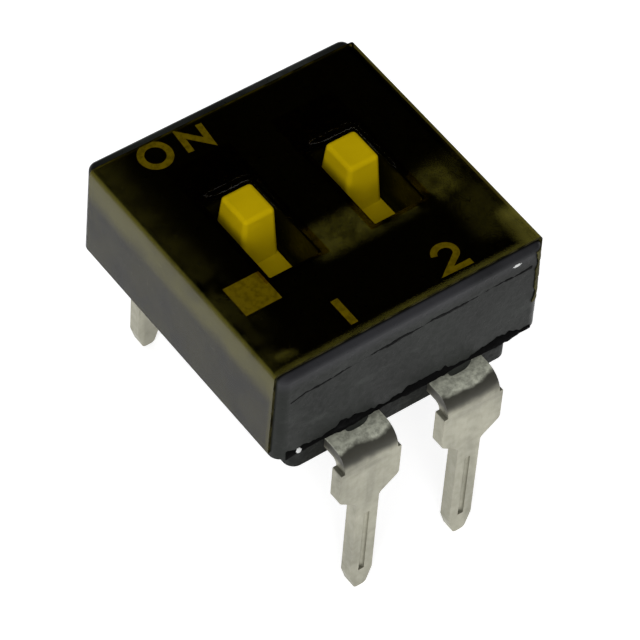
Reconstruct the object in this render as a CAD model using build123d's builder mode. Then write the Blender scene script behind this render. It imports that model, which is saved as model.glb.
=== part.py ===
from build123d import *
from math import atan, radians, sin, tan
import os

# Two-position slide switch for a circuit board, with its top sealed by an amber film.
# Millimetres. X runs along a row of terminals, Y points to the ON side, Z is up.
# The origin is the centre of the terminal pattern, on the board's surface.

# Terminal pattern on the board
positions = 2
pitch = 2.54
row_spacing = 7.62

# Heights above the board
top_height = 4.35
cover_depth = 2.4
base_underside = 1.03

# Cover
cover_length = 6.46
cover_width = 6.8
cover_draft = 1.0
cover_corner_radius = 0.25
cover_edge_radius = 0.15
end_wall = 0.5
side_wall = 0.53
slot_width = 1.21
slot_corner_radius = 0.12
lug_width = 0.56
lug_depth = 0.27
lug_radius = 0.2

# Base
base_inset = 0.2
base_edge_chamfer = 0.1
pocket_width = 1.3

# Terminals, stamped from one sheet
sheet = 0.3
shelf_width = 1.3
blade_width = 1.48
blade_shoulder_height = 0.35
blade_corner_radius = 0.15
pin_width = 0.56
pin_length = 2.9
pin_tip_width = 0.28
pin_tip_length = 0.45
pin_tip_radius = 0.12
arm_width = 1.1
bend_inner_radius = 0.15
groove_radius = 0.07
groove_start = 0.45
groove_length = 1.9

# Slides
travel = 1.0
plate_width = 2.1
plate_length = 3.4
plate_thickness = 0.3
tongue_height = 0.25
slot_floor_depth = 0.965
knob_base_width = 0.94
knob_base_length = 1.0
knob_top_width = 0.73
knob_top_length = 0.86
knob_stand = 0.35
knob_edge_radius = 0.1
slot_end_gap = 0.12

# Bridging contacts, stamped from a thin spring strip
strip = 0.1
contact_width = 1.0
contact_land_length = 0.9
wiper_reach = 1.2
wiper_tail = 0.2
wiper_tail_slope = radians(45)
wiper_bend_radius = 0.14
finger_gap = 0.2
stud_radius = 0.2
stud_head_radius = 0.32
stud_head_height = 0.12
contact_recess = 0.12
pad_overlap = 0.3

# Sealing film
film = 0.06
film_far_inset = 0.26
film_near_inset = 0.02
film_flap_gap = 0.12
film_fold_radius = 0.06
film_knob_gap = 0.06
film_tent_slope = radians(20)
film_tent_radius = 0.2

# Sealing resin in the corners under the end walls
bead_radius = 0.3
bead_end_gap = 0.35

# Clearances
fit = 0.03
slide_gap = 0.02
wiper_gap = 0.03

# Heights and half sizes that follow from the sizes above
split_height = top_height - cover_depth
shelf_top = split_height - lug_depth
shelf_bottom = shelf_top - sheet
blade_top = shelf_bottom - bend_inner_radius
slot_floor = top_height - slot_floor_depth
plate_top = slot_floor - tongue_height
plate_bottom = plate_top - plate_thickness
rail_top = plate_bottom - slide_gap
knob_top = top_height + knob_stand
half_length = cover_length / 2
half_width = cover_width / 2
base_length = cover_length - 2 * (end_wall + fit)
base_width = cover_width - 2 * base_inset
plug_width = cover_width - 2 * (side_wall + fit)
blade_face = row_spacing / 2 + sheet / 2
on_centre = travel / 2
slot_length = knob_base_length + travel + 2 * slot_end_gap
channel_length = plate_length + travel + 2 * fit
pocket_length = travel + 2 * (wiper_reach + wiper_tail + strip + fit)
column_x = [(index - (positions - 1) / 2) * pitch for index in range(positions)]


def lean(height):
    """How far the cover's drafted walls have leaned in at a height."""
    return (height - split_height) * tan(radians(cover_draft))


# Terminals
# Each is an L of sheet: an arm inside the base, a shelf, a bend, and a blade that narrows to a pin.
def build_terminal(x, side, arm_end):
    """One terminal, in the near row for side -1 or the ON row for side 1, its arm ending at arm_end."""
    outer = side * blade_face
    inner = side * (blade_face - sheet)
    neck = base_width / 2 + fit
    with BuildPart() as terminal:
        # The bent sheet, seen from the end of the switch
        with BuildSketch(Plane.YZ.offset(x)):
            with BuildLine():
                FilletPolyline(
                    (arm_end, shelf_top),
                    (outer, shelf_top),
                    (outer, -pin_length),
                    (inner, -pin_length),
                    (inner, shelf_bottom),
                    (arm_end, shelf_bottom),
                    radius=[0, bend_inner_radius + sheet, 0, 0, bend_inner_radius, 0],
                    close=True,
                )
            make_face()
        extrude(amount=blade_width / 2, both=True)

        # The outline: a narrower shelf and bend, the blade, a taper, and a pin with a rounded tip
        right = [
            (x + shelf_width / 2, shelf_top),
            (x + shelf_width / 2, blade_top),
            (x + blade_width / 2, blade_top),
            (x + blade_width / 2, blade_shoulder_height),
            (x + pin_width / 2, 0),
            (x + pin_width / 2, pin_tip_length - pin_length),
            (x + pin_tip_width / 2, -pin_length),
        ]
        left = [(2 * x - across, height) for across, height in reversed(right)]
        radii = [0, 0, fit, blade_corner_radius, blade_corner_radius, 0, pin_tip_radius]
        with BuildSketch(Plane.XZ):
            with BuildLine():
                FilletPolyline(*right, *left, radius=radii + radii[::-1], close=True)
            make_face()
        extrude(amount=row_spacing, both=True, mode=Mode.INTERSECT)

        # Inside the base the sheet narrows to the arm
        with BuildSketch(Plane.XY.offset(-pin_length)):
            with Locations((x, side * (neck + row_spacing / 2))):
                Rectangle(blade_width, row_spacing)
            with Locations((x, 0)):
                Rectangle(arm_width, 2 * neck)
        extrude(amount=pin_length + top_height, mode=Mode.INTERSECT)

        # A coined groove runs down the pin's outer face
        with BuildSketch(Plane.XY.offset(-groove_start - groove_length)):
            with Locations((x, outer)):
                Circle(groove_radius)
        extrude(amount=groove_length, mode=Mode.SUBTRACT)
    return terminal


# Both wipers stand on the arms when the slide is ON, and the far one stands off its arm when it is OFF
near_arm_end = travel / 2 - wiper_reach + pad_overlap
far_arm_end = wiper_reach - travel / 2 + pad_overlap
terminals = {}
for index, x in enumerate(column_x):
    terminals[f"terminal_{index + 1}_near"] = build_terminal(x, -1, near_arm_end)
    terminals[f"terminal_{index + 1}_on_side"] = build_terminal(x, 1, far_arm_end)
for name, terminal in terminals.items():
    terminal.part.label = name


# Base
# A slab under the cover and a plug inside it, moulded round the terminals' arms.
lug_reach = half_width - plug_width / 2
with BuildPart() as terminal_base:
    with BuildSketch(Plane.XY.offset(base_underside)):
        RectangleRounded(base_length, base_width, cover_corner_radius)
    extrude(amount=split_height - base_underside)
    chamfer(terminal_base.faces().sort_by(Axis.Z)[0].edges(), base_edge_chamfer)
    with BuildSketch(Plane.XY.offset(split_height)):
        Rectangle(base_length, plug_width)
    extrude(amount=rail_top - split_height)

    # Pockets in which the wipers travel, down to the terminals' arms
    with BuildSketch(Plane.XY.offset(shelf_top)):
        with GridLocations(pitch, 0, positions, 1):
            Rectangle(pocket_width, pocket_length)
    extrude(amount=rail_top - shelf_top, mode=Mode.SUBTRACT)

    # Notches for the cover's lugs
    for side in (-1, 1):
        with BuildSketch(Plane.XY.offset(shelf_top)):
            for x in column_x:
                with Locations((x, side * (half_width - lug_reach / 2))):
                    Rectangle(lug_width + 2 * fit, lug_reach)
        extrude(amount=lug_depth, mode=Mode.SUBTRACT)

    for terminal in terminals.values():
        add(terminal.part, mode=Mode.SUBTRACT)
terminal_base.part.label = "terminal_base"


# Cover
# A drafted box, open below, with a channel for each slide and a slot for each knob.
with BuildPart() as housing_cover:
    with BuildSketch(Plane.XY.offset(split_height)):
        RectangleRounded(cover_length, cover_width, cover_corner_radius)
    extrude(amount=cover_depth, taper=cover_draft)
    fillet(housing_cover.faces().sort_by(Axis.Z)[-1].edges(), cover_edge_radius)

    # Cavity for the base's plug
    with BuildSketch(Plane.XY.offset(split_height)):
        Rectangle(base_length + 2 * fit, plug_width + 2 * fit)
    extrude(amount=plate_bottom - split_height, mode=Mode.SUBTRACT)

    # Channels for the slides' plates
    with BuildSketch(Plane.XY.offset(plate_bottom)):
        with GridLocations(pitch, 0, positions, 1):
            Rectangle(plate_width + 2 * fit, channel_length)
    extrude(amount=plate_thickness + slide_gap, mode=Mode.SUBTRACT)
    with BuildSketch(Plane.XY.offset(plate_top)):
        with GridLocations(pitch, 0, positions, 1):
            Rectangle(knob_base_width + 2 * fit, channel_length)
    extrude(amount=tongue_height + slide_gap, mode=Mode.SUBTRACT)

    # Slots for the knobs, with a ledge along each side of the tongue
    with BuildSketch(Plane.XY.offset(slot_floor)):
        with GridLocations(pitch, 0, positions, 1):
            RectangleRounded(slot_width, slot_length, slot_corner_radius)
    extrude(amount=slot_floor_depth, mode=Mode.SUBTRACT)

    # Lugs that press on the terminals' shelves, one over each
    for wall_start in (half_width - side_wall, -half_width):
        with BuildSketch(Plane.XZ.offset(wall_start)):
            for x in column_x:
                with BuildLine():
                    FilletPolyline(
                        (x - lug_width / 2, split_height),
                        (x - lug_width / 2, shelf_top),
                        (x + lug_width / 2, shelf_top),
                        (x + lug_width / 2, split_height),
                        radius=[0, lug_radius, lug_radius, 0],
                        close=True,
                    )
                make_face()
        extrude(amount=side_wall)
housing_cover.part.label = "housing_cover"


# Slides
# A plate that runs under the cover, a tongue along it, a tapered knob, and a stud for the contact.
def build_slide(x):
    """One slide, modelled in its ON position."""
    # The knob is drafted on all four sides
    with BuildPart() as knob:
        with BuildSketch(Plane.XY.offset(slot_floor)):
            with Locations((x, on_centre)):
                Rectangle(knob_base_width, knob_base_length)
        with BuildSketch(Plane.XY.offset(knob_top)):
            with Locations((x, on_centre)):
                Rectangle(knob_top_width, knob_top_length)
        loft()
        knob_edges = knob.edges().filter_by(lambda edge: edge.center().Z > slot_floor + fit)
        fillet(knob_edges, knob_edge_radius)

    with BuildPart() as slide:
        with BuildSketch(Plane.XY.offset(plate_bottom)):
            with Locations((x, on_centre)):
                Rectangle(plate_width, plate_length)
        extrude(amount=plate_thickness)
        chamfer(slide.edges().filter_by(Axis.Z), fit)
        with BuildSketch(Plane.XY.offset(plate_top)):
            with Locations((x, on_centre)):
                Rectangle(knob_base_width, plate_length)
        extrude(amount=tongue_height)
        add(knob.part)

        # Recess for the contact's land, with a stud through it
        with BuildSketch(Plane.XY.offset(plate_bottom)):
            with Locations((x, on_centre)):
                Rectangle(contact_width + 2 * fit, contact_land_length + 2 * (contact_recess + fit))
        extrude(amount=contact_recess, mode=Mode.SUBTRACT)
        with BuildSketch(Plane.XY.offset(plate_bottom + contact_recess - strip)):
            with Locations((x, on_centre)):
                Circle(stud_radius)
        extrude(amount=strip)
        with BuildSketch(Plane.XY.offset(plate_bottom + contact_recess - strip - stud_head_height)):
            with Locations((x, on_centre)):
                Circle(stud_head_radius)
        extrude(amount=stud_head_height)
    return slide


# Bridging contacts
# A land held under the slide, and two slit arms that come down to the terminals' arms.
def build_contact(x):
    """One bridging contact, under its slide in the ON position."""
    land = plate_bottom + contact_recess - strip / 2
    half_land = contact_land_length / 2
    tail = wiper_reach + wiper_tail

    # Rounding the bend lifts its lowest point, so its corner is drawn that much lower
    wiper = shelf_top + wiper_gap + strip / 2
    arm_slope = atan((land - wiper) / (wiper_reach - half_land))
    bend_height = (sin(arm_slope) + sin(wiper_tail_slope)) / sin(arm_slope + wiper_tail_slope)
    wiper -= wiper_bend_radius * (bend_height - 1)
    tail_top = wiper + wiper_tail * tan(wiper_tail_slope)
    with BuildPart() as contact:
        with BuildSketch(Plane.YZ.offset(x)):
            with BuildLine():
                FilletPolyline(
                    (on_centre - tail, tail_top),
                    (on_centre - wiper_reach, wiper),
                    (on_centre - half_land, land),
                    (on_centre + half_land, land),
                    (on_centre + wiper_reach, wiper),
                    (on_centre + tail, tail_top),
                    radius=wiper_bend_radius,
                )
            trace(line_width=strip)
        extrude(amount=contact_width / 2, both=True)
        with BuildSketch(Plane.XY.offset(shelf_top)):
            with Locations((x, on_centre)):
                Circle(stud_radius + fit)
            finger_length = tail - half_land
            for side in (-1, 1):
                with Locations((x, on_centre + side * (half_land + finger_length / 2 + strip))):
                    Rectangle(finger_gap, finger_length)
        extrude(amount=plate_bottom + contact_recess - shelf_top, mode=Mode.SUBTRACT)
    return contact


slides = {}
for index, x in enumerate(column_x):
    slides[f"slide_{index + 1}"] = build_slide(x)
    slides[f"bridge_contact_{index + 1}"] = build_contact(x)
for name, piece in slides.items():
    piece.part.label = name


# Sealing film
# One strip over the top and down both ends, standing clear of the knobs' whole travel.
def film_section(thickness, bottom):
    """Corners of the strip's outside, or of its inside at no thickness, as seen along the Y axis."""
    top = top_height + thickness
    foot = half_length - lean(bottom) + thickness
    head = half_length - lean(top) + thickness
    return [(-foot, bottom), (-head, top), (head, top), (foot, bottom)]


film_bottom = split_height + film_flap_gap
film_far = half_width - lean(top_height) - film_far_inset
film_near = half_width - lean(top_height) - cover_edge_radius - film_near_inset
tent_height = knob_stand + film_knob_gap
tent_spread = 2 * tent_height * tan(film_tent_slope)
tent_top_width = knob_top_width + 2 * film_knob_gap
tent_top_length = knob_top_length + travel + 2 * film_knob_gap
with BuildPart() as sealing_film:
    # The folded strip, then the room inside it, with a raised tent over each knob's travel
    for thickness, bottom, mode in ((film, film_bottom, Mode.ADD), (0, film_bottom - fit, Mode.SUBTRACT)):
        fold = film_fold_radius + thickness
        with BuildSketch(Plane.XZ.offset(-film_far)):
            with BuildLine():
                FilletPolyline(*film_section(thickness, bottom), radius=[0, fold, fold, 0], close=True)
            make_face()
        extrude(amount=film_far + film_near, mode=mode)
        for x in column_x:
            with BuildSketch(Plane.XY.offset(top_height)):
                with Locations((x, 0)):
                    RectangleRounded(
                        tent_top_width + tent_spread + 2 * thickness,
                        tent_top_length + tent_spread + 2 * thickness,
                        film_tent_radius + thickness,
                    )
            with BuildSketch(Plane.XY.offset(top_height + tent_height + thickness)):
                with Locations((x, 0)):
                    RectangleRounded(
                        tent_top_width + 2 * thickness,
                        tent_top_length + 2 * thickness,
                        film_tent_radius + thickness,
                    )
            loft(mode=mode)
sealing_film.part.label = "sealing_film"


# Sealing resin
# A bead fills the corner between each end of the base and the cover's end wall.
def build_bead(side):
    """The bead under the end wall on side -1 or 1."""
    with BuildPart() as bead:
        with BuildSketch(Plane.XZ.offset(-base_width / 2 + bead_end_gap)):
            with BuildLine():
                corner = (side * base_length / 2, split_height)
                out = (side * (base_length / 2 + bead_radius), split_height)
                down = (side * base_length / 2, split_height - bead_radius)
                Line(corner, out)
                RadiusArc(out, down, side * -bead_radius)
                Line(down, corner)
            make_face()
        extrude(amount=base_width - 2 * bead_end_gap)
    return bead


beads = {"seal_bead_left": build_bead(-1), "seal_bead_right": build_bead(1)}
for name, bead in beads.items():
    bead.part.label = name


os.makedirs("parts", exist_ok=True)
pieces = {"housing_cover": housing_cover, "terminal_base": terminal_base, "sealing_film": sealing_film}
pieces.update(terminals)
pieces.update(slides)
pieces.update(beads)
for name, piece in pieces.items():
    export_step(piece.part, f"parts/{name}.step")
    print(name, round(piece.part.volume, 4))
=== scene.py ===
"""Looks for a small slide switch sealed with amber film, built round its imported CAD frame."""

import math

import bpy
import numpy as np
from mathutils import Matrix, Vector
from bpy.props import FloatProperty, FloatVectorProperty, PointerProperty


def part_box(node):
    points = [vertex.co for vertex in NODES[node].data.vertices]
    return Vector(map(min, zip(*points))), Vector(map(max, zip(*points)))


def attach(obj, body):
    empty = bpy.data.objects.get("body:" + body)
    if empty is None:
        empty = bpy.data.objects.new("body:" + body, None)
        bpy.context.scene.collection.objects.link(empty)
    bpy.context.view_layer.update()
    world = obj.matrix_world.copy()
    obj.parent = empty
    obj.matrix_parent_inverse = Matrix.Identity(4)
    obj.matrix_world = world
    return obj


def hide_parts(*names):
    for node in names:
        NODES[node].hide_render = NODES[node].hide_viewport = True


bl_info = {
    "name": "Sealed Slide Switch",
    "version": (1, 0, 0),
    "blender": (4, 5, 0),
    "location": "3D View > Sidebar > Switch",
    "description": "Film, print, moulding marks, finishes and stage for a sealed slide switch",
    "category": "Add Mesh",
}

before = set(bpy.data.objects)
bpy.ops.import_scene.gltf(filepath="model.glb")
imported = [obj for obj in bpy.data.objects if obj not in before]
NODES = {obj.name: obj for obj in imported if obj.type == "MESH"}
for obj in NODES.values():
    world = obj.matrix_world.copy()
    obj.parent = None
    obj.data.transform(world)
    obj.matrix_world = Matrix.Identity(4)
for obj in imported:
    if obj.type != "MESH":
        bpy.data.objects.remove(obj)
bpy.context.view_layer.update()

MM = 0.001

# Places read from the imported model, in millimetres
COVER_HIGH = np.array(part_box("housing_cover")[1]) / MM
FILM_LOW, FILM_HIGH = (np.array(corner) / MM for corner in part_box("sealing_film"))
SLIDE_BOXES = {
    name: [np.array(corner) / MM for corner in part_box(name)] for name in ("slide_1", "slide_2")
}
SHELF_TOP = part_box("terminal_1_near")[1].z / MM
PIN_TIP = min(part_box(name)[0].z for name in NODES if name.startswith("terminal_")) / MM
TOP = COVER_HIGH[2]

# The CAD model's own sizes, in millimetres
COVER_DEPTH = 2.4
SPLIT = TOP - COVER_DEPTH
DRAFT = math.tan(math.radians(1.0))
CORNER_RADIUS = 0.25
KNOB_HALF = np.array((0.365, 0.43))
SLOT_HALF = np.array((0.605, 1.12))
TRAVEL = 1.0

# Film, in millimetres: its height over the cover, its fold, the play round a slot, and its
# thickness where it is loose
FILM_STAND = 0.06
FILM_FOLD = 0.12
SLOT_PLAY = 0.01
LOOSE_THICKNESS = 0.02

# Tents, in millimetres: height over the sheet's outside and over the knob, how far inside the
# knob's edge the slopes start, and how far they run
TENT_LIFT, TENT_OVER_KNOB = 0.022, 0.03
TENT_INSET = 0.06
TENT_RUN_X, TENT_RUN_Y = 0.36, 0.5

# Print, in millimetres on the cover's top
PRINT_LOW, PRINT_HIGH = TOP + 0.0005, TOP + 0.004
RING_CENTRE, RING_RADIUS, RING_WIDTH = (-1.9, 2.76), 0.3, 0.15
LETTER_N = [(-1.24, 2.45), (-1.2, 2.97), (-0.76, 2.47), (-0.71, 2.99)]
DIGIT_1 = [(-1.145, -2.915), (-1.145, -2.225)]
HOOK_CENTRE, HOOK_RADII = (1.38, -2.46), (0.235, 0.205)
DIGIT_2_FOOT = [(1.13, -2.88), (1.71, -2.895)]
INDEX_MARK = [(-2.79, -1.22), (-1.94, -1.22)]
LETTER_WIDTH, DIGIT_1_WIDTH, INDEX_WIDTH = 0.14, 0.17, 0.8

# Colours
# Painted sheen: the grey of the lighter band high on the near face
PAINTED_SHEEN_GREY = (0.036, 0.036, 0.04)
HAZY_AMBER = (0.085, 0.078, 0.018)
# Painted shade for the right flap, which is seen edge on
PAINTED_DARK_FLAP = (0.2, 0.18, 0.07)
DULL_FLAP = (0.5, 0.48, 0.38)

# Stage, in metres, with the dome's lowest elevation in degrees
SOFTBOX_SIZE = 0.2
FLOOR_HALF, FLOOR_GLOW = 0.6, 0.56
DOME_RADIUS, DOME_LOW, DOME_ROWS, DOME_COLUMNS = 0.3, 5, 12, 48


def lean(height):
    """How far the cover's drafted walls stand inside their foot at a height."""
    return (height - SPLIT) * DRAFT


# Meshes


def grid_quads(rows, columns, close_rows=False, close_columns=False):
    """Quads joining neighbouring points of a grid stored row by row, wrapping where asked."""
    r = np.arange(rows if close_rows else rows - 1)
    c = np.arange(columns if close_columns else columns - 1)
    r, c = (a.ravel() for a in np.meshgrid(r, c, indexing="ij"))
    r2, c2 = (r + 1) % rows, (c + 1) % columns
    return np.stack(
        (r * columns + c, r2 * columns + c, r2 * columns + c2, r * columns + c2), axis=1
    )


def bar_faces(rows, columns):
    """Faces of a bar whose section is a ring of points: its sides and end caps, all outwards."""
    last = (rows - 1) * columns
    caps = [list(range(columns))[::-1], list(range(last, last + columns))]
    return grid_quads(rows, columns, close_columns=True)[:, ::-1].tolist() + caps


def mesh_piece(name, points, faces, material, body, smooth=True):
    """A mesh object from points in millimetres and lists of corners, riding on a body."""
    mesh = bpy.data.meshes.new(name)
    corners = [list(map(int, face)) for face in faces]
    mesh.from_pydata((np.asarray(points, float) * MM).tolist(), [], corners)
    mesh.validate()
    mesh.shade_smooth() if smooth else mesh.shade_flat()
    mesh.materials.append(material)
    piece = bpy.data.objects.new(name, mesh)
    bpy.context.scene.collection.objects.link(piece)
    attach(piece, body)
    return piece


def joined(parts):
    """Several (points, faces) solids as one list of points and one of faces."""
    points, faces, start = [], [], 0
    for part_points, part_faces in parts:
        points.append(np.asarray(part_points, float))
        faces.extend([[corner + start for corner in face] for face in part_faces])
        start += len(part_points)
    return np.concatenate(points), faces


def ripple(a, b, seed, waves=6, longest=3.0):
    """A smooth irregular field of a and b, about -1 to 1: a sum of sines, each turned at random."""
    rng = np.random.default_rng(seed)
    total = np.zeros(np.broadcast(a, b).shape)
    weight = 0.0
    for k in range(waves):
        turn, phase = rng.uniform(0, 2 * np.pi, 2)
        length = longest / (1 + k)
        share = 1 / (1 + 0.7 * k)
        along = a * np.cos(turn) + b * np.sin(turn)
        total += share * np.sin(2 * np.pi * along / length + phase)
        weight += share
    return total / weight * 1.8


def ribbon(path, width, low, high, closed=False):
    """A flat stroke: a rectangle from low to high, carried along a path with mitred corners."""
    path = np.asarray(path, float)
    width = np.broadcast_to(width, len(path))
    steps = np.roll(path, -1, axis=0) - path
    if not closed:
        steps[-1] = steps[-2]
    steps /= np.linalg.norm(steps, axis=1)[:, None]
    before = np.roll(steps, 1, axis=0)
    if not closed:
        before[0] = steps[0]
    side_before = np.stack((-before[:, 1], before[:, 0]), axis=1)
    side_after = np.stack((-steps[:, 1], steps[:, 0]), axis=1)
    across = side_before + side_after
    across /= np.linalg.norm(across, axis=1)[:, None]
    reach = 1 / np.clip((across * side_after).sum(axis=1), 0.35, 1)
    across *= (reach * width / 2)[:, None]
    left, right = path + across, path - across
    ends = np.stack((np.full(len(path), low), np.full(len(path), high)), axis=1)
    ring = np.stack(
        (
            np.column_stack((right, ends[:, 0])),
            np.column_stack((right, ends[:, 1])),
            np.column_stack((left, ends[:, 1])),
            np.column_stack((left, ends[:, 0])),
        ),
        axis=1,
    )
    faces = grid_quads(len(path), 4, close_rows=closed, close_columns=True).tolist()
    if not closed:
        last = 4 * (len(path) - 1)
        faces += [[0, 1, 2, 3], [last + 3, last + 2, last + 1, last]]
    return ring.reshape(-1, 3), faces


def lump(centre, radii, seed, rough=0.1, rows=18, columns=32):
    """A closed rounded lump: an ellipsoid whose radius is pushed in and out by a ripple."""
    fall = np.linspace(0, np.pi, rows + 2)[1:-1]
    turn = np.linspace(0, 2 * np.pi, columns, endpoint=False)
    fall, turn = np.meshgrid(fall, turn, indexing="ij")
    swell = 1 + rough * ripple(3 * np.sin(turn) * np.sin(fall), 3 * fall, seed)
    flat = np.sin(fall)
    unit = np.stack((flat * np.cos(turn), flat * np.sin(turn), np.cos(fall)), axis=-1)
    body = centre + unit * swell[..., None] * np.asarray(radii)
    pole = np.array((0, 0, radii[2]))
    points = np.vstack((body.reshape(-1, 3), centre + pole, centre - pole))
    top, bottom = len(points) - 2, len(points) - 1
    faces = grid_quads(rows, columns, close_columns=True).tolist()
    around = np.arange(columns)
    nextone = (around + 1) % columns
    faces += np.stack((np.full(columns, top), around, nextone), axis=1).tolist()
    base = (rows - 1) * columns
    faces += np.stack((np.full(columns, bottom), base + nextone, base + around), axis=1).tolist()
    return points, faces


# Material nodes


class Finish:
    """A procedural material that is put together node by node, on Object coordinates."""

    def __init__(self, name):
        self.material = bpy.data.materials.new(name)
        self.material.use_nodes = True
        self.tree = self.material.node_tree
        self.tree.nodes.clear()
        self.coordinates = self.add("TexCoord").outputs["Object"]

    def add(self, kind, inputs=None, **settings):
        """A node of a kind, with settings, and inputs that are either values or sockets to link."""
        made = self.tree.nodes.new("ShaderNode" + kind)
        for key, value in settings.items():
            setattr(made, key, value)
        for key, value in (inputs or {}).items():
            if isinstance(value, bpy.types.NodeSocket):
                self.tree.links.new(value, made.inputs[key])
            else:
                made.inputs[key].default_value = value
        return made

    def noise(self, scale, detail=4.0, roughness=0.55, stretch=(1, 1, 1)):
        """Noise between about 0.3 and 0.7, with so many cells to a metre."""
        place = self.add("Mapping", {"Vector": self.coordinates, "Scale": stretch})
        return self.add(
            "TexNoise",
            {"Vector": place.outputs[0], "Scale": scale, "Detail": detail, "Roughness": roughness},
        ).outputs["Fac"]

    def ramp(self, value, stops):
        """A number or colour that follows a value through stops of (place, colour)."""
        made = self.add("ValToRGB", {"Fac": value})
        band = made.color_ramp
        while len(band.elements) < len(stops):
            band.elements.new(0.5)
        for element, (place, colour) in zip(band.elements, stops):
            element.position = place
            element.color = colour if len(colour) == 4 else (*colour, 1)
        return made.outputs["Color"]

    def between(self, value, low, high, to_low=0.0, to_high=1.0):
        """A value carried from low..high to to_low..to_high with a soft start and stop."""
        return self.add(
            "MapRange",
            {
                "Value": value,
                "From Min": low,
                "From Max": high,
                "To Min": to_low,
                "To Max": to_high,
            },
            interpolation_type="SMOOTHSTEP",
        ).outputs["Result"]

    def sum(self, operation, a, b):
        """Two numbers added, multiplied or compared."""
        return self.add("Math", {0: a, 1: b}, operation=operation).outputs[0]

    def place(self):
        """The point's own x, y and z, in metres."""
        return self.add("SeparateXYZ", {"Vector": self.coordinates}).outputs

    def within(self, box, soft=0.1):
        """1 inside a box on x and y in millimetres and 0 outside it, with a soft edge."""
        found = self.place()
        total = None
        for axis, (low, high) in zip("XY", box):
            rise = self.between(found[axis], (low - soft) * MM, (low + soft) * MM)
            fall = self.between(found[axis], (high - soft) * MM, (high + soft) * MM, 1.0, 0.0)
            both = self.sum("MULTIPLY", rise, fall)
            total = both if total is None else self.sum("MULTIPLY", total, both)
        return total

    def mixed(self, share, a, b):
        """Two colours mixed by a share."""
        made = self.add("Mix", {"Factor": share}, data_type="RGBA")
        for key, value in (("A", a), ("B", b)):
            socket = [s for s in made.inputs if s.name == key and s.type == "RGBA"][0]
            if isinstance(value, bpy.types.NodeSocket):
                self.tree.links.new(value, socket)
            else:
                socket.default_value = value if len(value) == 4 else (*value, 1)
        return [s for s in made.outputs if s.type == "RGBA"][0]

    def bump(self, height, distance, strength=1.0):
        """A bump normal from a height, its full rise given in metres."""
        return self.add(
            "Bump", {"Height": height, "Distance": distance, "Strength": strength}
        ).outputs["Normal"]

    def principled(self, **inputs):
        """The main surface shader, its sockets named with underscores for spaces."""
        sockets = {name.replace("_", " "): value for name, value in inputs.items()}
        return self.add("BsdfPrincipled", sockets).outputs[0]

    def done(self, surface):
        """Ends the material with a surface and returns it."""
        output = self.add("OutputMaterial")
        self.tree.links.new(surface, output.inputs["Surface"])
        return self.material


def times(colour, factor):
    """A colour made darker or lighter."""
    return tuple(factor * part for part in colour)


def dress(names, material):
    """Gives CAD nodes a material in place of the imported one."""
    for name in names:
        NODES[name].data.materials.clear()
        NODES[name].data.materials.append(material)


def black_plastic(name, colour, roughness, grain, ior=1.19):
    """Black moulded plastic: grain, cloudy wear, scuffs, a painted lighter sheen band high on the
    near face, and darker under film.
    """
    f = Finish(name)
    cloud = f.noise(420, 5)
    fine = f.noise(9000, 3)
    scuff = f.noise(2400, 4, 0.65, stretch=(0.4, 1, 1))
    found = f.place()
    on_top = f.between(found["Z"], (TOP - 0.12) * MM, (TOP - 0.01) * MM)
    under = f.between(found["Y"], (FILM_HIGH[1] - 0.05) * MM, (FILM_HIGH[1] + 0.02) * MM, 1.0, 0.0)
    base = f.mixed(f.between(cloud, 0.35, 0.7), times(colour, 0.7), times(colour, 1.5))
    worn = f.sum("MULTIPLY", f.between(scuff, 0.56, 0.7), 0.6)
    base = f.mixed(worn, base, tuple(2.4 * c + 0.004 for c in colour))
    base = f.mixed(f.sum("MULTIPLY", on_top, under), base, times(colour, 0.1))
    # Painted sheen: a lighter grey band high on the near face, just under the top edge
    near = f.between(found["Y"], (FILM_LOW[1] - 0.06) * MM, (FILM_LOW[1] + 0.01) * MM, 1.0, 0.0)
    high = f.between(found["Z"], (TOP - 0.45) * MM, (TOP - 0.12) * MM, 0.0, 0.8)
    painted_sheen_band = f.sum("MULTIPLY", near, high)
    painted_sheen_band = f.sum("MULTIPLY", painted_sheen_band, f.between(cloud, 0.3, 0.6, 0.55, 1.0))
    base = f.mixed(painted_sheen_band, base, PAINTED_SHEEN_GREY)
    surface = f.principled(
        Base_Color=base,
        Roughness=f.between(fine, 0.3, 0.7, roughness - 0.07, roughness + 0.09),
        IOR=ior,
        Normal=f.bump(fine, grain),
    )
    return f.done(surface)


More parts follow.
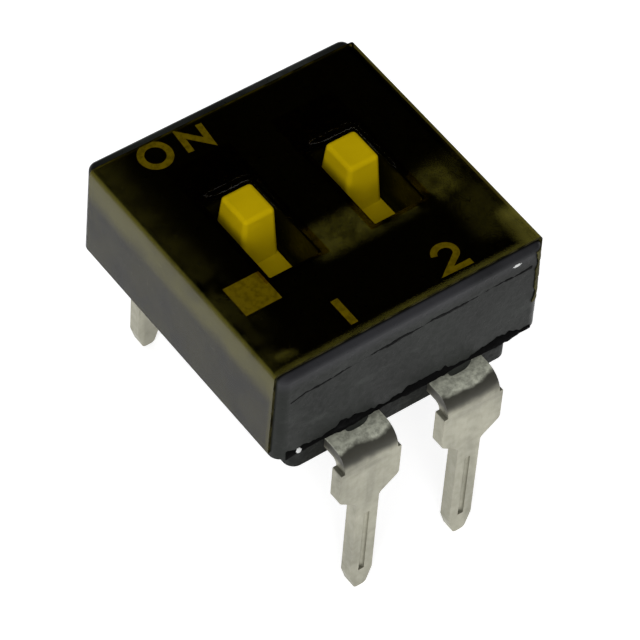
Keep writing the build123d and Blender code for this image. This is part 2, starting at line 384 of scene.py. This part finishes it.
def tin_plate(name, colour, residue):
    """Dull tin plating: streaks, scuffs on the blade, a bend painted dark as a painted reflection,
    a pale crust on the shelf.
    """
    f = Finish(name)
    streak = f.noise(2600, 4, stretch=(1, 1, 0.1))
    across = f.noise(3000, 5, stretch=(0.14, 1, 1))
    cloud = f.noise(700, 5)
    speck = f.noise(6500, 4, 0.7)
    found = f.place()
    sway = f.sum("MULTIPLY", f.sum("SUBTRACT", f.noise(1100, 4), 0.5), 0.3 * MM)
    level = f.sum("ADD", found["Z"], sway)
    crust = f.between(level, (SHELF_TOP - 0.075) * MM, (SHELF_TOP - 0.025) * MM)
    # Painted reflection: the bend is darkened and dulled where it would mirror the dark
    # surroundings
    painted_dark_bend = f.between(level, (SHELF_TOP - 0.42) * MM, (SHELF_TOP - 0.2) * MM)
    blade = f.between(level, (SHELF_TOP - 1.0) * MM, (SHELF_TOP - 0.35) * MM)
    base = f.mixed(f.between(cloud, 0.35, 0.68), times(colour, 0.78), colour)
    base = f.mixed(f.between(streak, 0.42, 0.6, 0.0, 0.4), base, times(colour, 1.18))
    scratched = f.sum("MULTIPLY", f.between(across, 0.5, 0.68, 0.0, 0.6), blade)
    base = f.mixed(scratched, base, times(colour, 0.5))
    base = f.mixed(f.sum("MULTIPLY", painted_dark_bend, 0.95), base, times(colour, 0.13))
    pale = f.mixed(f.between(speck, 0.35, 0.65), times(residue, 0.6), times(residue, 1.15))
    base = f.mixed(crust, base, pale)
    height = f.sum("ADD", f.sum("MULTIPLY", streak, 0.5), f.sum("MULTIPLY", speck, 0.4))
    dulled = f.sum("MAXIMUM", f.sum("MULTIPLY", crust, 0.65), f.sum("MULTIPLY", painted_dark_bend, 0.4))
    surface = f.principled(
        Base_Color=base,
        Metallic=f.sum("SUBTRACT", 0.7, dulled),
        Roughness=f.between(speck, 0.3, 0.7, 0.38, 0.6),
        Normal=f.bump(height, 0.012 * MM),
    )
    return f.done(surface)


def white_plastic(name, colour):
    """White moulded plastic: even, slightly glossy, with a soft unevenness."""
    f = Finish(name)
    cloud = f.noise(900, 4)
    fine = f.noise(12000, 2)
    base = f.mixed(f.between(cloud, 0.35, 0.7), times(colour, 0.88), colour)
    surface = f.principled(
        Base_Color=base,
        Roughness=f.between(fine, 0.3, 0.7, 0.34, 0.5),
        IOR=1.5,
        Normal=f.bump(fine, 0.004 * MM),
    )
    return f.done(surface)


def gold_strip(name):
    """Gold-plated spring strip with fine drawn lines."""
    f = Finish(name)
    line = f.noise(6000, 3, stretch=(1, 0.05, 1))
    base = f.mixed(f.between(line, 0.35, 0.65), (0.62, 0.42, 0.16), (0.83, 0.62, 0.28))
    surface = f.principled(
        Base_Color=base, Metallic=1.0, Roughness=0.26, Normal=f.bump(line, 0.004 * MM)
    )
    return f.done(surface)


def cured_resin(name, colour):
    """Cured sealing resin: brownish, patchy and slightly shiny."""
    f = Finish(name)
    cloud = f.noise(1500, 5)
    base = f.mixed(f.between(cloud, 0.35, 0.65), times(colour, 0.5), colour)
    surface = f.principled(
        Base_Color=base,
        Roughness=f.between(cloud, 0.3, 0.7, 0.25, 0.5),
        IOR=1.52,
        Normal=f.bump(cloud, 0.03 * MM),
    )
    return f.done(surface)


def printing_ink(name, colour):
    """Thin pale ink, a little patchy where it covers the black plastic."""
    f = Finish(name)
    speck = f.noise(9000, 4)
    cloud = f.noise(1600, 4)
    base = f.mixed(f.between(speck, 0.3, 0.62), times(colour, 0.55), colour)
    base = f.mixed(f.between(cloud, 0.45, 0.75, 0.0, 0.5), base, times(colour, 0.7))
    surface = f.principled(Base_Color=base, Roughness=0.6, IOR=1.5)
    return f.done(surface)


def amber_film(name, tint, haze_colour, roughness, gloss=1.0, hazy=1.0):
    """Clear amber film: it tints what it covers, mirrors a little, and is hazy where it let go."""
    f = Finish(name)
    facing = f.add("NewGeometry").outputs["Backfacing"]
    front = f.sum("SUBTRACT", 1.0, facing)
    wave = f.noise(500, 3)
    fine = f.noise(3500, 4)
    normal = f.bump(f.sum("ADD", wave, f.sum("MULTIPLY", fine, 0.12)), 0.014 * MM)
    found = f.place()
    x, y, z = found["X"], found["Y"], found["Z"]

    # The flap on the right is seen edge on, so its tint is painted dark as painted shade, and the
    # one on the left is dull
    tinted = f.mixed(f.between(x, 2.98 * MM, 3.08 * MM), tint, PAINTED_DARK_FLAP)
    tinted = f.mixed(f.between(x, -3.16 * MM, -3.06 * MM, 1.0, 0.0), tinted, DULL_FLAP)
    clear = f.add("BsdfTransparent", {"Color": tinted}).outputs[0]
    mirror = f.add(
        "BsdfAnisotropic", {"Color": (1, 1, 1, 1), "Roughness": roughness, "Normal": normal}
    ).outputs[0]
    level = f.between(x, 3.08 * MM, 3.18 * MM, gloss, 0.15 * gloss)
    shine = f.sum("MULTIPLY", f.add("Fresnel", {"IOR": 1.2, "Normal": normal}).outputs[0], level)

    # Haze: down from the left fold, along the near edge, in a band below the slots and at the right
    cloud = f.noise(1300, 6, 0.62)
    speck = f.noise(7000, 5, 0.7)
    patchy = f.sum("MULTIPLY", f.between(cloud, 0.34, 0.6), f.between(speck, 0.3, 0.6, 0.45, 1.0))
    beside_fold = f.between(x, -3.2 * MM, -2.3 * MM, 0.36, 0.0)
    band = f.within(((-0.75, 2.7), (-1.3, -0.55)), 0.2)
    right = f.sum("MULTIPLY", f.within(((2.2, 3.1), (-2.7, -0.4)), 0.3), 0.3)
    streak = f.within(((-3.0, -2.55), (-2.95, -2.75)), 0.12)
    where = f.sum("MAXIMUM", f.sum("MAXIMUM", beside_fold, band), f.sum("MAXIMUM", right, streak))
    cloudy = f.sum("MULTIPLY", f.sum("MULTIPLY", patchy, where), 0.22)
    left_flap = f.between(x, -3.22 * MM, -3.16 * MM, 0.4, 0.0)
    down = f.sum("MULTIPLY", f.between(z, (TOP - 1.0) * MM, (TOP - 0.45) * MM), left_flap)
    near = f.between(y, (FILM_LOW[1] + 0.03) * MM, (FILM_LOW[1] + 0.17) * MM, 0.24, 0.0)
    corner = f.sum("MULTIPLY", f.within(((2.8, 3.5), (-3.5, -2.2)), 0.2), 0.4)
    edges = f.sum("MAXIMUM", f.sum("MAXIMUM", down, near), corner)
    edges = f.sum("MULTIPLY", edges, f.between(cloud, 0.3, 0.6, 0.55, 1.0))
    share = f.sum("MULTIPLY", f.sum("MAXIMUM", cloudy, edges), f.sum("MULTIPLY", front, hazy))
    haze = f.add("BsdfDiffuse", {"Color": (*haze_colour, 1)}).outputs[0]
    under = f.add("MixShader", {0: share, 1: clear, 2: haze}).outputs[0]
    shine = f.sum("MULTIPLY", shine, front)
    return f.done(f.add("MixShader", {0: shine, 1: under, 2: mirror}).outputs[0])


def film_edge(name, colour):
    """The film's cut edge: dark amber outside, and painted black round the slots as painted shade.
    """
    f = Finish(name)
    cloud = f.noise(2500, 4)
    base = f.mixed(f.between(cloud, 0.4, 0.6), times(colour, 0.2), colour)
    # Painted shade: the cut edge round the slots is made black for the dark slots below it
    base = f.mixed(f.within(((-2.6, 2.6), (-1.3, 1.3)), 0.05), base, (0.002, 0.002, 0.001))
    return f.done(f.principled(Base_Color=base, Roughness=0.8, IOR=1.08))


def hazy_film(name, colour):
    """Amber film that stands off the plastic: cloudy and dull."""
    f = Finish(name)
    cloud = f.noise(2200, 5)
    base = f.mixed(f.between(cloud, 0.35, 0.65), times(colour, 0.45), colour)
    normal = f.bump(cloud, 0.02 * MM)
    return f.done(f.principled(Base_Color=base, Roughness=0.6, IOR=1.15, Normal=normal))


def clear_rim(name):
    """The thin loose film's edge, too thin to be seen."""
    f = Finish(name)
    return f.done(f.add("BsdfTransparent", {"Color": (1, 1, 1, 1)}).outputs[0])


# Sizes and colours that a user may change


class FilmSettings(bpy.types.PropertyGroup):
    thickness: FloatProperty(
        name="Thickness",
        description="Thickness of the sealing film",
        default=0.055 * MM,
        min=0.01 * MM,
        max=0.1 * MM,
        subtype="DISTANCE",
        unit="LENGTH",
    )
    tint: FloatVectorProperty(
        name="Tint",
        description="Colour that one face of the film lets through",
        default=(0.87, 0.8, 0.21),
        size=3,
        min=0,
        max=1,
        subtype="COLOR",
    )
    haze: FloatVectorProperty(
        name="Haze",
        description="Colour of the film where its glue has let go",
        default=(0.2, 0.18, 0.03),
        size=3,
        min=0,
        max=1,
        subtype="COLOR",
    )
    edge: FloatVectorProperty(
        name="Cut edge",
        description="Colour of the film's cut edge",
        default=(0.04, 0.036, 0.014),
        size=3,
        min=0,
        max=1,
        subtype="COLOR",
    )
    roughness: FloatProperty(
        name="Roughness",
        description="Roughness of the film's shine",
        default=0.06,
        min=0,
        max=1,
    )


class FinishSettings(bpy.types.PropertyGroup):
    cover: FloatVectorProperty(
        name="Cover",
        description="Colour of the moulded cover",
        default=(0.012, 0.0135, 0.012),
        size=3,
        min=0,
        max=1,
        subtype="COLOR",
    )
    base: FloatVectorProperty(
        name="Base",
        description="Colour of the moulded base",
        default=(0.01, 0.011, 0.01),
        size=3,
        min=0,
        max=1,
        subtype="COLOR",
    )
    tin: FloatVectorProperty(
        name="Tin",
        description="Colour of the terminals' plating",
        default=(0.4, 0.39, 0.31),
        size=3,
        min=0,
        max=1,
        subtype="COLOR",
    )
    slide: FloatVectorProperty(
        name="Slides",
        description="Colour of the moulded slides",
        default=(0.9, 0.89, 0.82),
        size=3,
        min=0,
        max=1,
        subtype="COLOR",
    )
    residue: FloatVectorProperty(
        name="Residue",
        description="Colour of the pale crust on the terminals' shelves",
        default=(0.42, 0.43, 0.35),
        size=3,
        min=0,
        max=1,
        subtype="COLOR",
    )
    resin: FloatVectorProperty(
        name="Resin",
        description="Colour of the sealing resin",
        default=(0.06, 0.055, 0.045),
        size=3,
        min=0,
        max=1,
        subtype="COLOR",
    )
    ink: FloatVectorProperty(
        name="Ink",
        description="Colour of the printed marks",
        default=(0.19, 0.185, 0.42),
        size=3,
        min=0,
        max=1,
        subtype="COLOR",
    )


class StageSettings(bpy.types.PropertyGroup):
    camera_place: FloatVectorProperty(
        name="Camera",
        description="Where the camera stands",
        default=(-0.034428, -0.042201, 0.066043),
        size=3,
        subtype="TRANSLATION",
        unit="LENGTH",
    )
    camera_turn: FloatVectorProperty(
        name="Turn",
        description="How the camera is turned",
        default=tuple(math.radians(a) for a in (39.75644, -2.97805, -35.94871)),
        size=3,
        subtype="EULER",
        unit="ROTATION",
    )
    focal_length: FloatProperty(
        name="Focal length",
        description="Focal length on a 36 mm wide sensor, in millimetres",
        default=234.71,
        min=1,
        max=500,
    )
    softbox_place: FloatVectorProperty(
        name="Softbox",
        description="Where the softbox stands, aimed at the switch",
        default=(-0.1375, -0.15, 0.145),
        size=3,
        subtype="TRANSLATION",
        unit="LENGTH",
    )
    softbox_power: FloatProperty(
        name="Softbox power",
        description="Power of the softbox",
        default=0.4,
        min=0,
        max=10,
        subtype="POWER",
        unit="POWER",
    )
    fill: FloatProperty(
        name="Fill",
        description="Strength of the light that comes from all round",
        default=0.45,
        min=0,
        max=2,
    )


# Operators, one for each piece or group of like pieces


class SWITCH_OT_stage(bpy.types.Operator):
    """Camera at the photograph's angle, pale floor, softbox, black dome and white surround"""

    bl_idname = "switch.stage"
    bl_label = "Stage"

    def execute(self, context):
        s = context.scene.switch_stage
        camera = bpy.data.objects.new("camera", bpy.data.cameras.new("camera"))
        camera.data.lens = s.focal_length
        camera.data.sensor_width = 36
        camera.data.clip_start = 0.005
        camera.data.clip_end = 10
        camera.location = s.camera_place
        camera.rotation_euler = s.camera_turn
        context.scene.collection.objects.link(camera)
        context.scene.camera = camera
        context.scene.view_settings.view_transform = "Standard"

        lamp = bpy.data.lights.new("softbox", "AREA")
        lamp.shape = "SQUARE"
        lamp.size = SOFTBOX_SIZE
        lamp.energy = s.softbox_power
        softbox = bpy.data.objects.new("softbox", lamp)
        softbox.location = s.softbox_place
        softbox.rotation_euler = Vector(s.softbox_place).to_track_quat("Z", "Y").to_euler()
        softbox.visible_glossy = False
        context.scene.collection.objects.link(softbox)

        # The floor is white paper, a little brighter where the camera or a mirror sees it
        f = Finish("floor paper")
        grain = f.noise(300, 3)
        paper = f.mixed(grain, (0.86, 0.86, 0.86), (0.9, 0.9, 0.9))
        seen = self.seen(f)
        strength = f.sum("MULTIPLY", seen, FLOOR_GLOW)
        glow = f.add("Emission", {"Color": (1, 1, 1, 1), "Strength": strength}).outputs[0]
        plain = f.add("BsdfDiffuse", {"Color": paper}).outputs[0]
        lit = f.done(f.add("AddShader", {0: plain, 1: glow}).outputs[0])
        floor = self.sheet("floor", FLOOR_HALF, PIN_TIP * MM, lit)

        # Only reflections see this black dome, which keeps the upper faces dark
        f = Finish("black card")
        card = f.done(f.principled(Base_Color=(0.002, 0.002, 0.002, 1), Roughness=1.0))
        dome = self.dome("black_dome", DOME_RADIUS, DOME_LOW, card)
        dome.visible_camera = False
        dome.visible_diffuse = False
        dome.visible_transmission = False
        dome.visible_shadow = False

        world = bpy.data.worlds.new("surround")
        world.use_nodes = True
        tree = world.node_tree
        tree.nodes.clear()
        path = tree.nodes.new("ShaderNodeLightPath")
        most = path.outputs["Is Camera Ray"]
        for name in ("Is Glossy Ray", "Is Transmission Ray"):
            adder = tree.nodes.new("ShaderNodeMath")
            adder.operation = "MAXIMUM"
            tree.links.new(most, adder.inputs[0])
            tree.links.new(path.outputs[name], adder.inputs[1])
            most = adder.outputs[0]
        strength = tree.nodes.new("ShaderNodeMapRange")
        strength.inputs["To Min"].default_value = s.fill
        strength.inputs["To Max"].default_value = 1.0
        tree.links.new(most, strength.inputs["Value"])
        background = tree.nodes.new("ShaderNodeBackground")
        tree.links.new(strength.outputs["Result"], background.inputs["Strength"])
        background.inputs["Color"].default_value = (1, 1, 1, 1)
        output = tree.nodes.new("ShaderNodeOutputWorld")
        tree.links.new(background.outputs[0], output.inputs["Surface"])
        context.scene.world = world
        return {"FINISHED"}

    @staticmethod
    def seen(f):
        """1 for rays from the camera, off gloss or through glass."""
        path = f.add("LightPath").outputs
        both = f.sum("MAXIMUM", path["Is Camera Ray"], path["Is Glossy Ray"])
        return f.sum("MAXIMUM", both, path["Is Transmission Ray"])

    @staticmethod
    def sheet(name, half, height, material):
        """A flat square sheet at a height."""
        mesh = bpy.data.meshes.new(name)
        corners = [(x * half, y * half, height) for x, y in ((-1, -1), (1, -1), (1, 1), (-1, 1))]
        mesh.from_pydata(corners, [], [(0, 1, 2, 3)])
        mesh.materials.append(material)
        made = bpy.data.objects.new(name, mesh)
        bpy.context.scene.collection.objects.link(made)
        return made

    @staticmethod
    def dome(name, radius, low, material):
        """A sphere's upper part, from an elevation in degrees nearly to its top."""
        rise = np.radians(np.linspace(low, 89.5, DOME_ROWS))
        turn = np.linspace(0, 2 * np.pi, DOME_COLUMNS, endpoint=False)
        rise, turn = np.meshgrid(rise, turn, indexing="ij")
        flat = np.cos(rise)
        unit = np.stack((flat * np.cos(turn), flat * np.sin(turn), np.sin(rise)), axis=-1)
        points = radius * unit
        faces = grid_quads(DOME_ROWS, DOME_COLUMNS, close_columns=True).tolist()
        mesh = bpy.data.meshes.new(name)
        mesh.from_pydata(points.reshape(-1, 3).tolist(), [], faces)
        mesh.materials.append(material)
        made = bpy.data.objects.new(name, mesh)
        bpy.context.scene.collection.objects.link(made)
        return made


class SWITCH_OT_finishes(bpy.types.Operator):
    """Materials of the moulded, stamped and filled CAD pieces"""

    bl_idname = "switch.finishes"
    bl_label = "Finishes"

    def execute(self, context):
        s = context.scene.switch_finish
        dress(["housing_cover"], black_plastic("cover plastic", tuple(s.cover), 0.34, 0.006 * MM))
        dress(["terminal_base"], black_plastic("base plastic", tuple(s.base), 0.5, 0.01 * MM))
        terminals = [n for n in NODES if n.startswith("terminal_") and n != "terminal_base"]
        dress(terminals, tin_plate("tin plate", tuple(s.tin), tuple(s.residue)))
        dress(["slide_1", "slide_2"], white_plastic("slide plastic", tuple(s.slide)))
        dress(["bridge_contact_1", "bridge_contact_2"], gold_strip("gold strip"))
        dress(["seal_bead_left", "seal_bead_right"], cured_resin("cured resin", tuple(s.resin)))
        return {"FINISHED"}


class SWITCH_OT_print(bpy.types.Operator):
    """Printed marks under the film: ON, 1, 2 and the square index mark"""

    bl_idname = "switch.print"
    bl_label = "Print"

    def execute(self, context):
        s = context.scene.switch_finish
        turn = np.linspace(0, 2 * np.pi, 48, endpoint=False)
        round_line = np.stack((np.cos(turn), np.sin(turn)), axis=1)
        ring = np.array(RING_CENTRE) + RING_RADIUS * round_line
        hook = np.radians(np.linspace(170, -38, 22))
        top = np.stack((np.cos(hook), np.sin(hook)), axis=1) * HOOK_RADII + HOOK_CENTRE
        two = np.vstack((top, DIGIT_2_FOOT))
        strokes = [
            ribbon(ring[::-1], RING_WIDTH, PRINT_LOW, PRINT_HIGH, closed=True),
            ribbon(LETTER_N, LETTER_WIDTH, PRINT_LOW, PRINT_HIGH),
            ribbon(DIGIT_1, DIGIT_1_WIDTH, PRINT_LOW, PRINT_HIGH),
            ribbon(two, LETTER_WIDTH, PRINT_LOW, PRINT_HIGH),
            ribbon(INDEX_MARK, INDEX_WIDTH, PRINT_LOW, PRINT_HIGH),
        ]
        points, faces = joined(strokes)
        ink = printing_ink("pale ink", tuple(s.ink))
        mesh_piece("top_print", points, faces, ink, "housing", smooth=False)
        return {"FINISHED"}


class SWITCH_OT_film(bpy.types.Operator):
    """Amber film over the top, down both ends and round one corner, with tents over the knobs"""

    bl_idname = "switch.film"
    bl_label = "Film"

    def execute(self, context):
        s = context.scene.switch_film
        film = amber_film("amber film", tuple(s.tint), tuple(s.haze), s.roughness)
        edge = film_edge("film edge", tuple(s.edge))
        points, faces = self.sheet()
        piece = mesh_piece("film_sheet", points, faces, film, "housing")
        self.thicken(piece, edge, s.thickness)
        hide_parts("sealing_film")
        points, faces = self.corner()
        hazy = hazy_film("hazy film", HAZY_AMBER)
        wrap = mesh_piece("film_corner", points, faces, hazy, "housing")
        self.thicken(wrap, edge, LOOSE_THICKNESS * MM)
        loose = amber_film("loose amber film", tuple(s.tint), tuple(s.haze), s.roughness, 0.28, 0.0)
        clear = clear_rim("clear film edge")
        for name, body in (("slide_1", "first_slide"), ("slide_2", "second_slide")):
            points, faces = self.tent(SLIDE_BOXES[name])
            tent = mesh_piece("film_tent_" + name[-1], points, faces, loose, body)
            self.thicken(tent, clear, LOOSE_THICKNESS * MM)
        return {"FINISHED"}

    @staticmethod
    def thicken(piece, edge, thickness):
        """Gives a sheet its thickness inwards, with a material of its own on the sharp cut edge."""
        mesh = piece.data
        mesh.materials.append(edge)
        used = np.empty(len(mesh.loops), np.int32)
        mesh.loops.foreach_get("edge_index", used)
        border = np.bincount(used, minlength=len(mesh.edges)) == 1
        mesh.attributes.new("sharp_edge", "BOOLEAN", "EDGE").data.foreach_set("value", border)
        wall = piece.modifiers.new("thickness", "SOLIDIFY")
        wall.thickness = thickness
        wall.offset = -1
        wall.material_offset_rim = 1

    @staticmethod
    def sheet():
        """The sheet's outside: a section of flap, fold, top, fold and flap, carried along Y."""
        out = FILM_HIGH[0]
        foot = FILM_LOW[2]
        height = TOP + FILM_STAND
        head = out - (height - foot) * DRAFT
        fold = FILM_FOLD
        bend = np.radians(np.linspace(0, 90, 9))
        rise = np.linspace(foot, height - fold, 16)[:-1]
        side = np.stack((-(out - (rise - foot) * DRAFT), rise), axis=1)
        start, level = -head + fold, height - fold
        corner = np.stack((start - fold * np.cos(bend), level + fold * np.sin(bend)), axis=1)
        holes = []
        for low, high in SLIDE_BOXES.values():
            centre = (low[0] + high[0]) / 2
            half = SLOT_HALF[0] + SLOT_PLAY
            holes.append((centre - half, centre + half))
        across = np.linspace(start, -start, 61)[1:-1]
        flat = np.unique(np.round(np.concatenate((across, *holes)), 5))
        left = np.vstack((side, corner))
        level_top = np.stack((flat, np.full(len(flat), height)), axis=1)
        section = np.vstack((left, level_top, left[::-1] * (-1, 1)))
        ends = (-SLOT_HALF[1] - SLOT_PLAY, SLOT_HALF[1] + SLOT_PLAY)
        along = np.linspace(FILM_LOW[1], FILM_HIGH[1], 61)
        along = np.unique(np.round(np.concatenate((along, ends)), 5))
        x = np.repeat(section[:, 0][:, None], len(along), axis=1)
        z = np.repeat(section[:, 1][:, None], len(along), axis=1)
        y = np.repeat(along[None, :], len(section), axis=0)
        faces = grid_quads(len(section), len(along))
        middle = np.stack([a.ravel()[faces].mean(axis=1) for a in (x, y, z)], axis=1)
        keep = np.ones(len(faces), bool)
        for low, high in holes:
            inside = (middle[:, 0] > low) & (middle[:, 0] < high) & (abs(middle[:, 1]) < ends[1])
            keep &= ~(inside & (middle[:, 2] > height - 0.05))
        return np.stack((x.ravel(), y.ravel(), z.ravel()), axis=1), faces[keep].tolist()

    @staticmethod
    def corner():
        """Film round the near right corner: an arc about its centre, carried down the wall."""
        down = np.linspace(0, 1, 40)[:, None]
        ragged = 1 - 0.1 * ripple(3 * down, 0 * down, 41, 6, 1.5)
        turn = np.radians(np.linspace(8, -78, 20)) * ragged
        z = TOP - 0.1 - 1.5 * down + 0 * turn
        radius = CORNER_RADIUS + 0.03 + 0.008 * ripple(3 * down, 0 * down, 42, 6, 1.2)
        x = COVER_HIGH[0] - lean(z) - CORNER_RADIUS + radius * np.cos(turn)
        y = -(COVER_HIGH[1] - lean(z)) + CORNER_RADIUS + radius * np.sin(turn)
        points = np.stack((x.ravel(), y.ravel(), z.ravel()), axis=1)
        return points, grid_quads(*x.shape)[:, ::-1].tolist()

    @staticmethod
    def tent(box):
        """The film over one knob: flat, but pulled up to the knob's top along four slopes."""
        low, high = box
        cx, cy = (low[0] + high[0]) / 2, (low[1] + high[1]) / 2
        x = np.linspace(-SLOT_HALF[0] - 0.16, SLOT_HALF[0] + 0.16, 65)
        y = np.linspace(-SLOT_HALF[1] - 0.1, SLOT_HALF[1] + TRAVEL + 0.1, 129) - cy
        x, y = np.meshgrid(x, y, indexing="ij")
        flat = TOP + FILM_STAND + TENT_LIFT
        rise = high[2] + TENT_OVER_KNOB - flat
        across = np.clip(abs(x) - KNOB_HALF[0] + TENT_INSET, 0, None) / TENT_RUN_X
        beyond = np.clip(y - KNOB_HALF[1] + TENT_INSET, 0, None) / TENT_RUN_Y
        before = np.clip(-y - KNOB_HALF[1] + TENT_INSET, 0, None) / TENT_RUN_Y
        away = (across**4 + beyond**4 + before**4) ** 0.25
        fall = np.clip(1 - away, 0, 1)
        z = flat + rise * (fall**2 * (3 - 2 * fall)) ** 0.8
        points = np.stack((cx + x.ravel(), cy + y.ravel(), z.ravel()), axis=1)
        return points, grid_quads(*x.shape).tolist()


class SWITCH_OT_moulding_marks(bpy.types.Operator):
    """Parting line on the near face, darker than the cover as painted shade; a black bead along its
    foot, partly resin and partly painted shade; resin at the lower corners; pale lumps as painted
    glints
    """

    bl_idname = "switch.moulding_marks"
    bl_label = "Moulding Marks"

    def execute(self, context):
        s = context.scene.switch_finish
        along = np.linspace(-2.95, 2.9, 320)
        drop = np.interp(along, (-2.95, -2.6, -1.7, -0.3, 2.9), (0.78, 0.68, 0.62, 0.54, 0.5))
        drop = drop + 0.02 * ripple(along, 0 * along, 4, 9, 1.5)
        size = np.clip(0.6 + 0.5 * ripple(along, 0 * along, 7, 12, 1.1), 0.3, 1.1)[:, None]
        turn = np.linspace(0, np.pi, 7)
        face = -(COVER_HIGH[1] - lean(TOP - drop))[:, None]
        y = face + 0.004 - 0.014 * size * np.sin(turn)
        z = (TOP - drop)[:, None] + 0.052 * size * np.cos(turn)
        x = np.repeat(along[:, None], len(turn), axis=1)
        points = np.stack((x.ravel(), y.ravel(), z.ravel()), axis=1)
        faces = bar_faces(*x.shape)
        # Painted shade: the parting line is made darker and duller than the cover it is moulded
        # from
        shadow = black_plastic("parting line", (0.006, 0.006, 0.006), 0.7, 0.01 * MM, 1.13)
        mesh_piece("parting_line", points, faces, shadow, "housing")
        points, faces = self.seam()
        # Painted shade: a near-black, nearly mirrorless bead for the dark joint under the cover,
        # partly squeezed resin
        dark = black_plastic("dark resin", (0.003, 0.003, 0.003), 0.75, 0.02 * MM, 1.06)
        mesh_piece("seam_resin_and_shade", points, faces, dark, "housing")
        lumps = [
            lump(np.array((-2.72, -3.1, 1.93)), (0.2, 0.13, 0.1), 11),
            lump(np.array((-2.9, -2.9, 1.9)), (0.14, 0.18, 0.12), 12),
            lump(np.array((2.62, -3.24, 1.93)), (0.15, 0.12, 0.09), 13),
            lump(np.array((2.84, -3.2, 1.95)), (0.14, 0.13, 0.1), 14),
            lump(np.array((2.98, -3.0, 1.96)), (0.12, 0.16, 0.1), 15),
            lump(np.array((2.9, -2.5, 1.93)), (0.12, 0.2, 0.08), 16),
        ]
        points, faces = joined(lumps)
        resin = black_plastic("black resin", (0.02, 0.019, 0.02), 0.4, 0.02 * MM, 1.4)
        mesh_piece("resin_lumps", points, faces, resin, "housing")
        face = -(COVER_HIGH[1] - lean(1.95))
        high_face = -(COVER_HIGH[1] - lean(4.14))
        # Painted highlights: two pale lumps on the near face stand for glints, the lower one on a
        # resin bubble
        glint_flecks = [
            lump(np.array((-2.7, face, 2.0)), (0.075, 0.05, 0.06), 21, 0.1),
            lump(np.array((2.5, high_face, 4.14)), (0.09, 0.012, 0.035), 23, 0.3),
        ]
        points, faces = joined(glint_flecks)
        bubble_glint = white_plastic("resin bubble", (0.75, 0.76, 0.75))
        mesh_piece("painted_glint_flecks", points, faces, bubble_glint, "housing")
        return {"FINISHED"}

    @staticmethod
    def seam():
        """Black bead at the near wall's foot, partly resin and partly painted shade for the dark
        joint: a half round bead of wandering height, carried along X.
        """
        along = np.linspace(-3.0, 3.02, 360)
        tall = np.clip(0.15 + 0.1 * ripple(along, 0 * along, 31, 14, 1.6), 0.05, 0.3)[:, None]
        turn = np.linspace(0, np.pi, 9)
        middle = SPLIT + 0.3 * tall
        z = middle + 0.7 * tall * np.cos(turn)
        y = -(COVER_HIGH[1] - lean(z)) + 0.012 - (0.025 + 0.12 * tall) * np.sin(turn)
        x = np.repeat(along[:, None], len(turn), axis=1)
        points = np.stack((x.ravel(), y.ravel(), z.ravel()), axis=1)
        faces = bar_faces(*x.shape)
        return points, faces


class SWITCH_PT_panel(bpy.types.Panel):
    """The switch's pieces and their settings"""

    bl_idname = "SWITCH_PT_panel"
    bl_label = "Sealed Slide Switch"
    bl_space_type = "VIEW_3D"
    bl_region_type = "UI"
    bl_category = "Switch"

    def draw(self, context):
        for name in GROUPS:
            group = getattr(context.scene, name)
            box = self.layout.box()
            for setting in group.__annotations__:
                box.prop(group, setting)
        for operator in STEPS:
            self.layout.operator(operator.bl_idname)


STEPS = (
    SWITCH_OT_stage,
    SWITCH_OT_finishes,
    SWITCH_OT_print,
    SWITCH_OT_film,
    SWITCH_OT_moulding_marks,
)
GROUPS = {
    "switch_stage": StageSettings,
    "switch_finish": FinishSettings,
    "switch_film": FilmSettings,
}


def register():
    for group in (*GROUPS.values(), *STEPS, SWITCH_PT_panel):
        bpy.utils.register_class(group)
    for name, group in GROUPS.items():
        setattr(bpy.types.Scene, name, PointerProperty(type=group))


def unregister():
    for name in GROUPS:
        delattr(bpy.types.Scene, name)
    for group in (SWITCH_PT_panel, *reversed(STEPS), *GROUPS.values()):
        bpy.utils.unregister_class(group)


def main():
    """Registers the add-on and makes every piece."""
    register()
    for operator in STEPS:
        family, name = operator.bl_idname.split(".")
        getattr(getattr(bpy.ops, family), name)()


if __name__ == "__main__":
    main()
